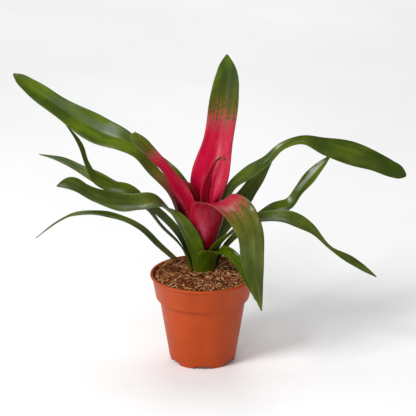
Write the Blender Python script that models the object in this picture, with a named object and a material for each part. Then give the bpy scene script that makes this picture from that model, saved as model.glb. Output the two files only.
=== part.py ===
"""Potted bromeliad in a 10.5 cm nursery pot: pot, potting mix, crown and single leaves.

Frame: origin at the centre of the pot's underside, +Z up, -Y is the front of the plant.
Lengths in this file are millimetres and angles are degrees; meshes are made in metres.
"""

import math

import bmesh
import bpy
import numpy as np

MM = 0.001

# Pot: outer profile from the foot up, then over the rolled lip and down the inside.
POT_HEIGHT = 91.5
POT_SEGMENTS = 48
BASE_RECESS = 1.4
POT_OUTER = [
    (20.4, 0.0), (21.0, 3.3), (30.2, 3.3), (30.8, 0.0), (32.3, 0.0), (33.3, 3.8),
    (43.3, 65.8), (46.4, 66.6), (47.0, 67.6), (50.6, 88.8), (52.1, 89.0), (52.5, 90.1),
    (52.2, 91.1), (51.4, POT_HEIGHT),
]
POT_INNER = [
    (50.2, 91.2), (49.4, 90.2), (49.2, 88.0), (46.0, 71.2), (42.2, 65.8), (32.3, 5.4),
    (31.4, 4.6), (20.2, 4.6), (19.5, BASE_RECESS),
]
FOOT_NOTCHES = 6
FOOT_NOTCH_WIDTH = 27.0
FOOT_NOTCH_HEIGHT = 2.9
NOTCH_CUT_INNER = 26.0
NOTCH_CUT_OUTER = 40.0
NOTCH_CUT_BELOW = 2.0

# Potting mix: fills the pot to just under the lip and rises to the rosette.
MIX_GAP = 0.35
MIX_RIM_RADIUS = 48.8
MIX_RIM_HEIGHT = 88.0
MIX_MOUND_HEIGHT = 93.4
WELL_RADIUS = 16.4
WELL_FLOOR = 74.0
MIX_SEGMENTS = POT_SEGMENTS
MIX_TOP_RINGS = 5

# Rosette: all the leaves spring from a short crown on this axis.
AXIS_X = 0.0
AXIS_Y = 6.0
CROWN_TOP = 108.0
CROWN_PLATE_RADIUS = 15.4
CROWN_PLATE_TOP = 77.0
CROWN_CORE_RADIUS = 3.0
CROWN_SEGMENTS = 24
CROWN_SEAT = 0.4
LEAF_FOOT = 78.2
SOIL_LINE = 95.0

LEAF_THICKNESS = 1.1
MARGIN_THICKNESS = 0.5
LEAF_COLUMNS = 4
RING_SPACING = 13.0
FEWEST_RINGS = 8
LEAST_WIDTH = 0.6

# Between the clasp and the arch's first point a sheath rises before it leans outwards.
SHEATH_SHARE = 0.4
SHEATH_LEAN = 0.2

# The sheath opens into the blade over the first part of the leaf; the twist comes after it.
OPENING_END = 0.55
TWIST_START = 0.3
TWIST_END = 0.62

# Each leaf is an arch in a vertical plane through the axis. "heading" is the way the blade goes
# (0 is +X, 90 is +Y) and "root" is where it clasps the crown: bearing, distance from the axis,
# width. "arch" has the few points that its curve needs, from the sheath to the tip, as reach
# from the axis, height and width. "swing" is how far the tip drifts sideways, "twist" turns the
# blade about its midrib, and "fold" is the arc of the blade's channel.
LEAVES = {
    "leaf_tall_red": {
        "heading": 88, "root": (88, 5.5, 16), "swing": -23, "twist": 0, "fold": 30,
        "slot": "leaf_two_tone",
        "arch": [(12, 158, 30), (18, 182, 38), (25, 220, 30), (29, 268, 28),
                 (30, 285, 23), (30, 297, 15), (30, 307, 2)],
    },
    "leaf_red_left": {
        "heading": 195, "root": (205, 7.1, 16), "swing": 0, "twist": 50, "fold": 45,
        "slot": "leaf_crimson",
        "arch": [(18, 163, 26), (33, 195, 14), (49, 215, 14), (63, 231, 17),
                 (71, 241, 8)],
    },
    "leaf_red_curled": {
        "heading": -30, "root": (-30, 4.2, 10), "swing": 0, "twist": -10, "fold": 70,
        "slot": "leaf_crimson",
        "arch": [(4, 160, 16), (6, 180, 15), (11, 198, 10), (17, 210, 6),
                 (23, 214, 4), (27, 210, 1)],
    },
    "leaf_red_short": {
        "heading": 175, "root": (160, 4.0, 9), "swing": 0, "twist": 0, "fold": 80,
        "slot": "leaf_crimson",
        "arch": [(5, 160, 10), (9, 176, 9), (22, 187, 1)],
    },
    "leaf_front_arch": {
        "heading": -62, "root": (-80, 8.9, 24), "swing": 22, "twist": 15, "fold": 40,
        "slot": "leaf_two_tone",
        "arch": [(18, 142, 37), (25, 169, 40), (42, 176, 36), (61, 171, 31),
                 (73, 154, 27), (76, 126, 23), (86, 75, 1)],
    },
    "leaf_front_low": {
        "heading": -34, "root": (-80, 14.8, 19), "swing": 0, "twist": 20, "fold": 60,
        "slot": "leaf_green",
        "arch": [(22, 117, 24), (32, 122, 18), (47, 118, 12), (60, 102, 10),
                 (72, 79, 1)],
    },
    "leaf_left_arch": {
        "heading": 205, "root": (240, 11.9, 21), "swing": 0, "twist": -20, "fold": 70,
        "slot": "leaf_green",
        "arch": [(24, 138, 31), (38, 160, 30), (53, 172, 27), (76, 174, 30),
                 (100, 178, 33), (124, 190, 32), (144, 203, 22), (156, 205, 2)],
    },
    "leaf_left_high": {
        "heading": 158, "root": (157, 10.5, 18), "swing": 0, "twist": -52, "fold": 45,
        "slot": "leaf_green",
        "arch": [(24, 142, 19), (35, 170, 21), (54, 189, 17), (69, 207, 16),
                 (86, 217, 24), (110, 224, 30), (152, 243, 22), (188, 263, 16), (201, 271, 9),
                 (206, 274, 2)],
    },
    "leaf_left_upturned": {
        "heading": 185, "root": (198, 13.5, 11), "swing": 0, "twist": -35, "fold": 50,
        "slot": "leaf_green",
        "arch": [(43, 142, 15), (57, 162, 17), (75, 179, 17), (93, 184, 15),
                 (107, 193, 12), (114, 207, 9), (120, 227, 7), (133, 248, 1)],
    },
    "leaf_left_mid": {
        "heading": 163, "root": (146, 13.2, 12), "swing": 0, "twist": -15, "fold": 45,
        "slot": "leaf_green",
        "arch": [(52, 149, 16), (76, 163, 17), (100, 171, 18), (124, 181, 16),
                 (150, 192, 9), (174, 196, 1)],
    },
    "leaf_left_low": {
        "heading": 155, "root": None, "swing": 80, "twist": -15, "fold": 45,
        "slot": "leaf_green",
        "arch": [(31, 98, 9), (47, 110, 11), (66, 129, 11), (93, 144, 9), (120, 148, 6),
                 (145, 130, 1)],
    },
    "leaf_left_rear": {
        "heading": 140, "root": (118, 8.6, 13), "swing": 0, "twist": -15, "fold": 60,
        "slot": "leaf_green",
        "arch": [(18, 145, 15), (33, 177, 15), (55, 191, 13), (78, 201, 12),
                 (96, 210, 1)],
    },
    "leaf_right_high": {
        "heading": 5, "root": (47, 10.4, 14), "swing": 0, "twist": 45, "fold": 45,
        "slot": "leaf_green",
        "arch": [(22, 148, 16), (33, 177, 20), (49, 190, 21), (65, 202, 14),
                 (80, 217, 9), (100, 223, 10), (122, 215, 22), (145, 208, 27), (168, 200, 25),
                 (189, 190, 20), (201, 185, 12), (205, 183, 3)],
    },
    "leaf_right_short": {
        "heading": 45, "root": (55, 12.2, 17), "swing": 0, "twist": 20, "fold": 70,
        "slot": "leaf_green",
        "arch": [(45, 138, 20), (67, 156, 19), (84, 170, 14), (105, 187, 1)],
    },
    "leaf_right_mid": {
        "heading": 14, "root": (10, 15.0, 13), "swing": 0, "twist": 30, "fold": 60,
        "slot": "leaf_green",
        "arch": [(49, 135, 16), (72, 149, 17), (90, 155, 14), (100, 168, 13),
                 (115, 185, 15), (132, 203, 1)],
    },
    "leaf_right_arch": {
        "heading": -4, "root": (-48, 13.1, 19), "swing": 0, "twist": 25, "fold": 60,
        "slot": "leaf_green",
        "arch": [(20, 122, 21), (34, 137, 21), (55, 149, 21), (84, 152, 22),
                 (106, 143, 14), (128, 122, 5), (150, 108, 12), (174, 93, 1)],
    },
    "leaf_rear_left": {
        "heading": 100, "root": (117, 14.7, 12), "swing": 0, "twist": 0, "fold": 45,
        "slot": "leaf_green",
        "arch": [(28, 112, 17), (50, 136, 20), (80, 147, 20), (108, 135, 13), (122, 119, 1)],
    },
    "leaf_rear_right": {
        "heading": 66, "root": (67, 14.7, 12), "swing": 0, "twist": 0, "fold": 45,
        "slot": "leaf_green",
        "arch": [(28, 108, 15), (50, 128, 18), (76, 133, 17), (98, 118, 11), (110, 102, 1)],
    },
}

# Surface slots: colour, roughness, metallic.
SLOTS = {
    "pot_plastic": ((0.55, 0.10, 0.035), 0.42, 0.0),
    "potting_fibre": ((0.14, 0.065, 0.03), 0.95, 0.0),
    "crown_tissue": ((0.35, 0.38, 0.16), 0.6, 0.0),
    "leaf_green": ((0.05, 0.14, 0.01), 0.35, 0.0),
    "leaf_crimson": ((0.50, 0.01, 0.05), 0.35, 0.0),
    "leaf_two_tone": ((0.40, 0.04, 0.05), 0.35, 0.0),
}


def clear_scene():
    for item in list(bpy.data.objects):
        bpy.data.objects.remove(item, do_unlink=True)


def slot_material(slot):
    if slot in bpy.data.materials:
        return bpy.data.materials[slot]
    colour, roughness, metallic = SLOTS[slot]
    material = bpy.data.materials.new(slot)
    material.use_nodes = True
    shader = material.node_tree.nodes["Principled BSDF"]
    shader.inputs["Base Color"].default_value = (*colour, 1.0)
    shader.inputs["Roughness"].default_value = roughness
    shader.inputs["Metallic"].default_value = metallic
    return material


def add_object(name, vertices, faces, slot, smooth=True):
    """Make one closed object from millimetre vertices, with its faces turned outward."""
    mesh = bpy.data.meshes.new(name)
    mesh.from_pydata([tuple(MM * c for c in v) for v in vertices], [], faces)
    shell = bmesh.new()
    shell.from_mesh(mesh)
    bmesh.ops.recalc_face_normals(shell, faces=shell.faces)
    shell.to_mesh(mesh)
    shell.free()
    for polygon in mesh.polygons:
        polygon.use_smooth = smooth
    mesh.materials.append(slot_material(slot))
    made = bpy.data.objects.new(name, mesh)
    bpy.context.scene.collection.objects.link(made)
    return made


def lathe(profile, segments, height_at=None):
    """Vertices and faces of a closed turned solid; both ends of the profile lie on the axis."""
    vertices = [(0.0, 0.0, profile[0][1]), (0.0, 0.0, profile[-1][1])]
    faces = []
    rings = []
    for radius, z in profile[1:-1]:
        ring = []
        for k in range(segments):
            turn = 2 * math.pi * k / segments
            x = radius * math.cos(turn)
            y = radius * math.sin(turn)
            ring.append(len(vertices))
            vertices.append((x, y, height_at(x, y, z) if height_at else z))
        rings.append(ring)
    for lower, upper in zip(rings, rings[1:]):
        for k in range(segments):
            n = (k + 1) % segments
            faces.append((lower[k], lower[n], upper[n], upper[k]))
    for k in range(segments):
        n = (k + 1) % segments
        faces.append((0, rings[0][n], rings[0][k]))
        faces.append((1, rings[-1][k], rings[-1][n]))
    return vertices, faces


def notch_cutter(index):
    """Wedge through the foot ring, used to cut one of the low arches under the wall."""
    middle = math.radians(-90 + 360 / FOOT_NOTCHES * index)
    half = math.radians(FOOT_NOTCH_WIDTH / 2)
    vertices = []
    corners = [
        (NOTCH_CUT_INNER, middle - half), (NOTCH_CUT_OUTER, middle - half),
        (NOTCH_CUT_OUTER, middle + half), (NOTCH_CUT_INNER, middle + half),
    ]
    for z in (-NOTCH_CUT_BELOW, FOOT_NOTCH_HEIGHT):
        for radius, turn in corners:
            vertices.append((radius * math.cos(turn), radius * math.sin(turn), z))
    faces = [(0, 3, 2, 1), (4, 5, 6, 7), (0, 1, 5, 4), (1, 2, 6, 5), (2, 3, 7, 6), (3, 0, 4, 7)]
    cutter = add_object("notch_guide_%d" % index, vertices, faces, "pot_plastic", smooth=False)
    cutter.hide_render = True
    cutter.display_type = "WIRE"
    return cutter


def build_pot():
    profile = [(0.0, 0.0)] + POT_OUTER + POT_INNER + [(0.0, BASE_RECESS)]
    vertices, faces = lathe(profile, POT_SEGMENTS)
    pot = add_object("nursery_pot", vertices, faces, "pot_plastic")
    for index in range(FOOT_NOTCHES):
        cut = pot.modifiers.new("foot_notch_%d" % index, "BOOLEAN")
        cut.operation = "DIFFERENCE"
        cut.solver = "EXACT"
        cut.object = notch_cutter(index)


def mix_height(radius, x, y):
    """Top of the mix: domed towards the rosette, with low heaps and one heap behind left."""
    span = (MIX_RIM_RADIUS - radius) / (MIX_RIM_RADIUS - WELL_RADIUS)
    dome = MIX_RIM_HEIGHT + (MIX_MOUND_HEIGHT - MIX_RIM_HEIGHT) * math.sin(span * math.pi / 2)
    ripple = 0.6 * math.sin(0.21 * x + 0.6) * math.cos(0.17 * y - 0.4)
    heap = 2.6 * math.exp(-((x + 31) ** 2 + (y - 29) ** 2) / 130)
    return dome + ripple * min(1.0, 4 * span * (1 - span)) + heap


def build_mix():
    inner = [(r - MIX_GAP, z) for r, z in reversed(POT_INNER)]
    profile = [(0.0, BASE_RECESS + MIX_GAP)]
    for radius, z in inner:
        if z < MIX_RIM_HEIGHT - 1.0:
            profile.append((radius, z + (MIX_GAP if z < 6 else 0.0)))
    sides = len(profile)
    rings = [MIX_RIM_RADIUS - (MIX_RIM_RADIUS - WELL_RADIUS) * k / MIX_TOP_RINGS
             for k in range(MIX_TOP_RINGS + 1)]
    profile += [(radius, MIX_RIM_HEIGHT) for radius in rings]
    profile += [(WELL_RADIUS, WELL_FLOOR), (0.0, WELL_FLOOR)]
    vertices, faces = lathe(profile, MIX_SEGMENTS)
    first = 2 + (sides - 1) * MIX_SEGMENTS
    for ring, radius in enumerate(rings):
        for k in range(MIX_SEGMENTS):
            n = first + ring * MIX_SEGMENTS + k
            x, y, _ = vertices[n]
            vertices[n] = (x, y, mix_height(radius, x, y))
    last = first + len(rings) * MIX_SEGMENTS
    for n in range(last - MIX_SEGMENTS, last + MIX_SEGMENTS):
        x, y, z = vertices[n]
        vertices[n] = (x + AXIS_X, y + AXIS_Y, z)
    vertices[1] = (AXIS_X, AXIS_Y, WELL_FLOOR)
    add_object("potting_mix", vertices, faces, "potting_fibre")


def build_crown():
    profile = [
        (0.0, WELL_FLOOR + CROWN_SEAT), (CROWN_PLATE_RADIUS, WELL_FLOOR + CROWN_SEAT),
        (CROWN_PLATE_RADIUS, CROWN_PLATE_TOP), (CROWN_CORE_RADIUS, CROWN_PLATE_TOP),
        (CROWN_CORE_RADIUS, CROWN_TOP - 6), (CROWN_CORE_RADIUS * 0.6, CROWN_TOP - 1),
        (0.0, CROWN_TOP),
    ]
    vertices, faces = lathe(profile, CROWN_SEGMENTS)
    vertices = [(x + AXIS_X, y + AXIS_Y, z) for x, y, z in vertices]
    add_object("stem_crown", vertices, faces, "crown_tissue")


def smooth_step(value):
    share = np.clip(value, 0.0, 1.0)
    return share * share * (3 - 2 * share)


def leaf_stations(leaf):
    """Midrib points as x, y, z, width and bearing; the clasping root comes first."""
    heading = leaf["heading"]
    rows = list(leaf["arch"])
    bearing = heading
    clasp = 0.0
    if leaf["root"]:
        bearing, clasp, root_width = leaf["root"]
        reach, height, width = rows[0]
        rows = [
            (clasp, LEAF_FOOT, root_width),
            (clasp + 0.2, SOIL_LINE, root_width),
            (
                clasp + SHEATH_LEAN * (reach - clasp),
                SOIL_LINE + SHEATH_SHARE * (height - SOIL_LINE),
                root_width + SHEATH_SHARE * (width - root_width),
            ),
        ] + rows
    offset = (bearing - heading + 180) % 360 - 180
    start = rows[0][0]
    end = rows[-1][0]
    stations = []
    for reach, height, width in rows:
        here = heading + offset * clasp / reach
        turn = math.radians(here)
        drift = leaf["swing"] * ((reach - start) / (end - start)) ** 2
        x = AXIS_X + reach * math.cos(turn) - drift * math.sin(turn)
        y = AXIS_Y + reach * math.sin(turn) + drift * math.cos(turn)
        stations.append((x, y, height, width, here))
    return np.array(stations, float)


def smooth_path(stations, count):
    """Curve through the stations by distance; gives values and the direction of travel."""
    steps = np.linalg.norm(np.diff(stations[:, :3], axis=0), axis=1)
    along = np.concatenate([[0.0], np.cumsum(steps)])
    slopes = np.diff(stations, axis=0) / steps[:, None]
    tangents = np.zeros_like(stations)
    before = steps[:-1, None]
    after = steps[1:, None]
    tangents[1:-1] = (slopes[:-1] * after + slopes[1:] * before) / (before + after)
    tangents[0] = 1.5 * slopes[0] - 0.5 * tangents[1]
    tangents[-1] = 1.5 * slopes[-1] - 0.5 * tangents[-2]
    where = np.linspace(0.0, along[-1], count)
    k = np.clip(np.searchsorted(along, where, side="right") - 1, 0, len(steps) - 1)
    h = steps[k][:, None]
    s = ((where - along[k]) / steps[k])[:, None]
    values = ((2 * s**3 - 3 * s**2 + 1) * stations[k] + (s**3 - 2 * s**2 + s) * h * tangents[k]
              + (3 * s**2 - 2 * s**3) * stations[k + 1] + (s**3 - s**2) * h * tangents[k + 1])
    course = ((6 * s**2 - 6 * s) * (stations[k] - stations[k + 1]) / h
              + (3 * s**2 - 4 * s + 1) * tangents[k] + (3 * s**2 - 2 * s) * tangents[k + 1])
    course = course[:, :3] / np.linalg.norm(course[:, :3], axis=1)[:, None]
    return values, course


def leaf_sheet(leaf, count, columns):
    """Mid-surface of a leaf: rows along it, columns across, and the surface normals."""
    values, course = smooth_path(leaf_stations(leaf), count)
    centre = values[:, :3]
    width = np.maximum(values[:, 3], LEAST_WIDTH)
    bearing = np.radians(values[:, 4])
    share = np.linspace(0.0, 1.0, count)
    turning = smooth_step((share - TWIST_START) / (TWIST_END - TWIST_START))
    twist = np.radians(leaf["twist"]) * turning
    arc = np.full(count, math.radians(leaf["fold"]))
    if leaf["root"]:
        wrap = leaf["root"][2] / leaf["root"][1]
        arc += (wrap - arc) * (1 - smooth_step(share / OPENING_END))
    level = np.stack([-np.sin(bearing), np.cos(bearing), np.zeros(count)], 1)
    side = level - np.sum(course * level, 1)[:, None] * course
    side /= np.linalg.norm(side, axis=1)[:, None]
    face = np.cross(course, side)
    across = side * np.cos(twist)[:, None] + face * np.sin(twist)[:, None]
    inward = face * np.cos(twist)[:, None] - side * np.sin(twist)[:, None]
    radius = width / arc
    turn = np.linspace(-0.5, 0.5, columns + 1)[None, :] * arc[:, None]
    reach = (radius[:, None] * np.sin(turn))[:, :, None]
    lift = (radius[:, None] * (1 - np.cos(turn)))[:, :, None]
    sheet = centre[:, None] + reach * across[:, None] + lift * inward[:, None]
    normal = np.cross(np.gradient(sheet, axis=0), np.gradient(sheet, axis=1))
    normal /= np.linalg.norm(normal, axis=2)[:, :, None]
    return sheet, normal


def build_leaf(name, leaf):
    """One leaf as a thin closed body, thicker at the midrib than at the margins."""
    columns = LEAF_COLUMNS
    spine = leaf_stations(leaf)[:, :3]
    length = float(np.sum(np.linalg.norm(np.diff(spine, axis=0), axis=1)))
    rows = max(FEWEST_RINGS, round(length / RING_SPACING) + 1)
    sheet, normal = leaf_sheet(leaf, rows, columns)
    across = np.linspace(-1.0, 1.0, columns + 1)
    half = 0.5 * (MARGIN_THICKNESS + (LEAF_THICKNESS - MARGIN_THICKNESS) * (1 - across**2))
    upper = sheet + normal * half[None, :, None]
    lower = sheet - normal * half[None, :, None]
    vertices = [tuple(v) for v in np.concatenate([upper.reshape(-1, 3), lower.reshape(-1, 3)])]
    stride = columns + 1
    under = rows * stride
    faces = []
    for i in range(rows - 1):
        for j in range(columns):
            a = i * stride + j
            b = a + stride
            faces.append((a, b, b + 1, a + 1))
            faces.append((under + a, under + a + 1, under + b + 1, under + b))
        left = i * stride
        right = left + columns
        faces.append((left, under + left, under + left + stride, left + stride))
        faces.append((right, right + stride, under + right + stride, under + right))
    for j in range(columns):
        start = j
        end = (rows - 1) * stride + j
        faces.append((start, start + 1, under + start + 1, under + start))
        faces.append((end, under + end, under + end + 1, end + 1))
    add_object(name, vertices, faces, leaf["slot"])


clear_scene()
build_pot()
build_mix()
build_crown()
for leaf_name, leaf_spec in LEAVES.items():
    build_leaf(leaf_name, leaf_spec)
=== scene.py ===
"""Potted bromeliad with leaf, pot and potting mix detail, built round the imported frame.

Lengths are millimetres unless a comment or a property says otherwise; meshes are in metres.
"""

import math

import bmesh
import bpy
import numpy as np
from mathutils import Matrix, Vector, noise


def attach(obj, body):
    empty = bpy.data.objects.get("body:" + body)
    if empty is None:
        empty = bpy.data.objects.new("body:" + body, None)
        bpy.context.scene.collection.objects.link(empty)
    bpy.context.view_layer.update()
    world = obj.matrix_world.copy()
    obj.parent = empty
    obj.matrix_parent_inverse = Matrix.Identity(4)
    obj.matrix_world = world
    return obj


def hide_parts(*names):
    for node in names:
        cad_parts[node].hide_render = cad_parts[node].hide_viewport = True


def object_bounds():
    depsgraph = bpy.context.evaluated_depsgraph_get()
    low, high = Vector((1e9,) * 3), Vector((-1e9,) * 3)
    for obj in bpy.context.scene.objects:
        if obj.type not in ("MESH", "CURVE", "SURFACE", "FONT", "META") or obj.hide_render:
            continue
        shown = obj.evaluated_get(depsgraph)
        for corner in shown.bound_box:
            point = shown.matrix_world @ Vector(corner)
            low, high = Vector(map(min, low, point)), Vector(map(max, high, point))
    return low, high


bl_info = {
    "name": "Potted Bromeliad",
    "version": (1, 0, 0),
    "blender": (4, 5, 0),
    "location": "View3D > Sidebar > Bromeliad",
    "description": "Builds a potted bromeliad piece by piece",
    "category": "Add Mesh",
}

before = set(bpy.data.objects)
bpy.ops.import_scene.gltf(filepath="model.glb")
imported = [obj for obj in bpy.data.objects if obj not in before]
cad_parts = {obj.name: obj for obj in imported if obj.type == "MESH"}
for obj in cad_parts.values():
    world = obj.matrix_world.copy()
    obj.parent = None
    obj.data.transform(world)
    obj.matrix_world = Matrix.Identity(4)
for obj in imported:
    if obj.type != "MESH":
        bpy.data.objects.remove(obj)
FRAME_BOUNDS = [list(corner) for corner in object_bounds()]

MM = 0.001
SEED = 7

# Rosette: the axis and heights that every leaf is set out from, then how a blade opens, turns,
# waves and creases. Starts, ends and fades are shares of the leaf's length.
AXIS_X = 0.0
AXIS_Y = 6.0
LEAF_FOOT = 78.2
SOIL_LINE = 95.0
SHEATH_SHARE = 0.4
SHEATH_LEAN = 0.2
OPENING_END = 0.55
TWIST_START = 0.3
TWIST_END = 0.62
RIPPLE = 0.9
RIPPLE_LAG = 1.7
FULL_RIPPLE_WIDTH = 20.0
BLADE_START = 0.25
BLADE_FADE = 0.3
TIP_FADE = 0.12
LEAST_WIDTH = 0.6
CREASE = 0.5
CREASE_WIDTH = 0.16
FOOT_LEAN = 0.2

# Pot section from the foot up, over the rolled lip and down the inside: radius and height.
# Notch width and bearing are in degrees.
FOOT_TOP = 3.3
NOTCH_TOP = 2.9
NOTCHES = 6
NOTCH_WIDTH = 27.0
NOTCH_INNER_RADIUS = 25.0
FIRST_NOTCH = -90.0
SHARP_ANGLE = 40.0
POT_SPECULAR = 0.14
POT_COAT = 0.04
POT_SECTION = [
    (0.0, 0.0), (19.6, 0.0), (20.4, 0.3), (20.9, 3.1), (21.6, FOOT_TOP), (29.8, FOOT_TOP),
    (30.4, 2.6), (30.8, 0.3), (31.2, 0.0), (31.9, 0.0), (32.4, 0.5), (33.1, 3.2), (33.5, 4.2),
    (34.3, 8.6), (43.1, 64.6), (43.3, 65.6), (44.0, 66.2), (46.1, 66.6), (46.7, 67.0),
    (47.0, 67.8), (50.4, 88.0), (51.0, 88.7), (51.9, 88.9), (52.4, 89.4), (52.5, 90.1),
    (52.2, 90.9), (51.4, 91.4), (50.5, 91.3), (49.8, 90.7), (49.4, 89.9), (49.2, 88.0),
    (46.2, 72.0), (45.6, 70.4), (42.4, 66.2), (42.0, 64.6), (32.3, 6.0), (31.3, 4.7),
    (20.2, 4.6), (19.5, 1.6), (19.0, 1.4), (0.0, 1.4),
]

# Potting mix: a turned body whose top is domed and heaped. Its lumps are layer, height, fineness.
MIX_SECTION = [(0.0, 5.0), (19.0, 5.0), (31.0, 5.2), (41.8, 65.0), (45.6, 71.2), (48.6, 86.8)]
MIX_RIM_RADIUS = 48.8
MIX_RIM_HEIGHT = 88.0
MIX_MOUND_HEIGHT = 93.6
MIX_TOP_FROM = 86.9
MIX_DOME_SPAN = 32.0
MIX_RIM_FADE = 6.0
MIX_LUMPS = ((0.0, 1.3, 0.16), (9.0, 0.9, 0.5))
HEAP_X = -31.0
HEAP_Y = 29.0
HEAP_HEIGHT = 2.4
HEAP_SPREAD = 130.0
SCATTER_RADIUS = 46.8
CRUMB_RINGS = (-1.0, -0.35, 0.35, 1.0)
CRUMB_TAPER = 0.55
CRUMB_THICKNESS = 0.28
CRUMB_BEND = 0.1
STRAND_STEPS = 9
STRAND_RADIUS = 46.5
STRAND_CEILING = 97.5
STRAND_ARCH = 0.9
STRAND_LIFT = 0.4
STRAND_TURN_BACK = math.pi * 0.6
FIBRE_SPECULAR = 0.12

# Crown section: the disc under the leaves, the ringed stem and its tip.
CROWN_DISC = [(0.0, 74.6), (14.6, 74.6), (15.2, 75.2), (15.2, 76.4), (14.4, 77.0), (3.3, 77.0)]
CROWN_TIP = [(2.2, 105.0), (1.2, 107.4), (0.0, 108.0)]
CROWN_SEGMENTS = 40
SCARS_FROM = 79
SCARS_RISE = 24
SCAR_STEP = 0.9
STEM_RADIUS = 3.0
SCAR_RADIUS = 2.6

# Each leaf is an arch in a vertical plane through the axis. "heading" is the way the blade goes
# (0 is +X, 90 is +Y) and "root" is where it clasps the crown: bearing, distance from the axis,
# width. "arch" has the few points that its curve needs, from the sheath to the tip, as reach
# from the axis, height and width. "swing" is how far the tip drifts sideways, "twist" turns the
# blade about its midrib, and "fold" is the arc of the blade's channel.
LEAVES = {
    "leaf_tall_red": {
        "heading": 88, "root": (88, 5.5, 16), "swing": -23, "twist": 0, "fold": 30,
        "slot": "leaf_two_tone",
        "arch": [(12, 158, 30), (18, 182, 38), (25, 220, 30), (29, 268, 28),
                 (30, 285, 23), (30, 297, 15), (30, 307, 2)],
    },
    "leaf_red_left": {
        "heading": 195, "root": (205, 7.1, 16), "swing": 0, "twist": 50, "fold": 45,
        "slot": "leaf_crimson",
        "arch": [(18, 163, 26), (33, 195, 14), (49, 215, 14), (63, 231, 17),
                 (71, 241, 8)],
    },
    "leaf_red_curled": {
        "heading": -30, "root": (-30, 4.2, 10), "swing": 0, "twist": -10, "fold": 70,
        "slot": "leaf_crimson",
        "arch": [(4, 160, 16), (6, 180, 15), (11, 198, 10), (17, 210, 6),
                 (23, 214, 4), (27, 210, 1)],
    },
    "leaf_red_short": {
        "heading": 175, "root": (160, 4.0, 9), "swing": 0, "twist": 0, "fold": 80,
        "slot": "leaf_crimson",
        "arch": [(5, 160, 10), (9, 176, 9), (22, 187, 1)],
    },
    "leaf_front_arch": {
        "heading": -62, "root": (-80, 8.9, 24), "swing": 22, "twist": 15, "fold": 40,
        "slot": "leaf_two_tone",
        "arch": [(18, 142, 37), (25, 169, 40), (42, 176, 36), (61, 171, 31),
                 (73, 154, 27), (76, 126, 23), (86, 75, 1)],
    },
    "leaf_front_low": {
        "heading": -34, "root": (-80, 14.8, 19), "swing": 0, "twist": 20, "fold": 60,
        "slot": "leaf_green",
        "arch": [(22, 117, 24), (32, 122, 18), (47, 118, 12), (60, 102, 10),
                 (72, 79, 1)],
    },
    "leaf_left_arch": {
        "heading": 205, "root": (240, 11.9, 21), "swing": 0, "twist": -20, "fold": 70,
        "slot": "leaf_green",
        "arch": [(24, 138, 31), (38, 160, 30), (53, 172, 27), (76, 174, 30),
                 (100, 178, 33), (124, 190, 32), (144, 203, 22), (156, 205, 2)],
    },
    "leaf_left_high": {
        "heading": 158, "root": (157, 10.5, 18), "swing": 0, "twist": -52, "fold": 45,
        "slot": "leaf_green",
        "arch": [(24, 142, 19), (35, 170, 21), (54, 189, 17), (69, 207, 16),
                 (86, 217, 24), (110, 224, 30), (152, 243, 22), (188, 263, 16), (201, 271, 9),
                 (206, 274, 2)],
    },
    "leaf_left_upturned": {
        "heading": 185, "root": (198, 13.5, 11), "swing": 0, "twist": -35, "fold": 50,
        "slot": "leaf_green",
        "arch": [(43, 142, 15), (57, 162, 17), (75, 179, 17), (93, 184, 15),
                 (107, 193, 12), (114, 207, 9), (120, 227, 7), (133, 248, 1)],
    },
    "leaf_left_mid": {
        "heading": 163, "root": (146, 13.2, 12), "swing": 0, "twist": -15, "fold": 45,
        "slot": "leaf_green",
        "arch": [(52, 149, 16), (76, 163, 17), (100, 171, 18), (124, 181, 16),
                 (150, 192, 9), (174, 196, 1)],
    },
    "leaf_left_low": {
        "heading": 155, "root": None, "swing": 80, "twist": -15, "fold": 45,
        "slot": "leaf_green",
        "arch": [(31, 98, 9), (47, 110, 11), (66, 129, 11), (93, 144, 9), (120, 148, 6),
                 (145, 130, 1)],
    },
    "leaf_left_rear": {
        "heading": 140, "root": (118, 8.6, 13), "swing": 0, "twist": -15, "fold": 60,
        "slot": "leaf_green",
        "arch": [(18, 145, 15), (33, 177, 15), (55, 191, 13), (78, 201, 12),
                 (96, 210, 1)],
    },
    "leaf_right_high": {
        "heading": 5, "root": (47, 10.4, 14), "swing": 0, "twist": 45, "fold": 45,
        "slot": "leaf_green",
        "arch": [(22, 148, 16), (33, 177, 20), (49, 190, 21), (65, 202, 14),
                 (80, 217, 9), (100, 223, 10), (122, 215, 22), (145, 208, 27), (168, 200, 25),
                 (189, 190, 20), (201, 185, 12), (205, 183, 3)],
    },
    "leaf_right_short": {
        "heading": 45, "root": (55, 12.2, 17), "swing": 0, "twist": 20, "fold": 70,
        "slot": "leaf_green",
        "arch": [(45, 138, 20), (67, 156, 19), (84, 170, 14), (105, 187, 1)],
    },
    "leaf_right_mid": {
        "heading": 14, "root": (10, 15.0, 13), "swing": 0, "twist": 30, "fold": 60,
        "slot": "leaf_green",
        "arch": [(49, 135, 16), (72, 149, 17), (90, 155, 14), (100, 168, 13),
                 (115, 185, 15), (132, 203, 1)],
    },
    "leaf_right_arch": {
        "heading": -4, "root": (-48, 13.1, 19), "swing": 0, "twist": 25, "fold": 60,
        "slot": "leaf_green",
        "arch": [(20, 122, 21), (34, 137, 21), (55, 149, 21), (84, 152, 22),
                 (106, 143, 14), (128, 122, 5), (150, 108, 12), (174, 93, 1)],
    },
    "leaf_rear_left": {
        "heading": 100, "root": (117, 14.7, 12), "swing": 0, "twist": 0, "fold": 45,
        "slot": "leaf_green",
        "arch": [(28, 112, 17), (50, 136, 20), (80, 147, 20), (108, 135, 13), (122, 119, 1)],
    },
    "leaf_rear_right": {
        "heading": 66, "root": (67, 14.7, 12), "swing": 0, "twist": 0, "fold": 45,
        "slot": "leaf_green",
        "arch": [(28, 108, 15), (50, 128, 18), (76, 133, 17), (98, 118, 11), (110, 102, 1)],
    },
}

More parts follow.
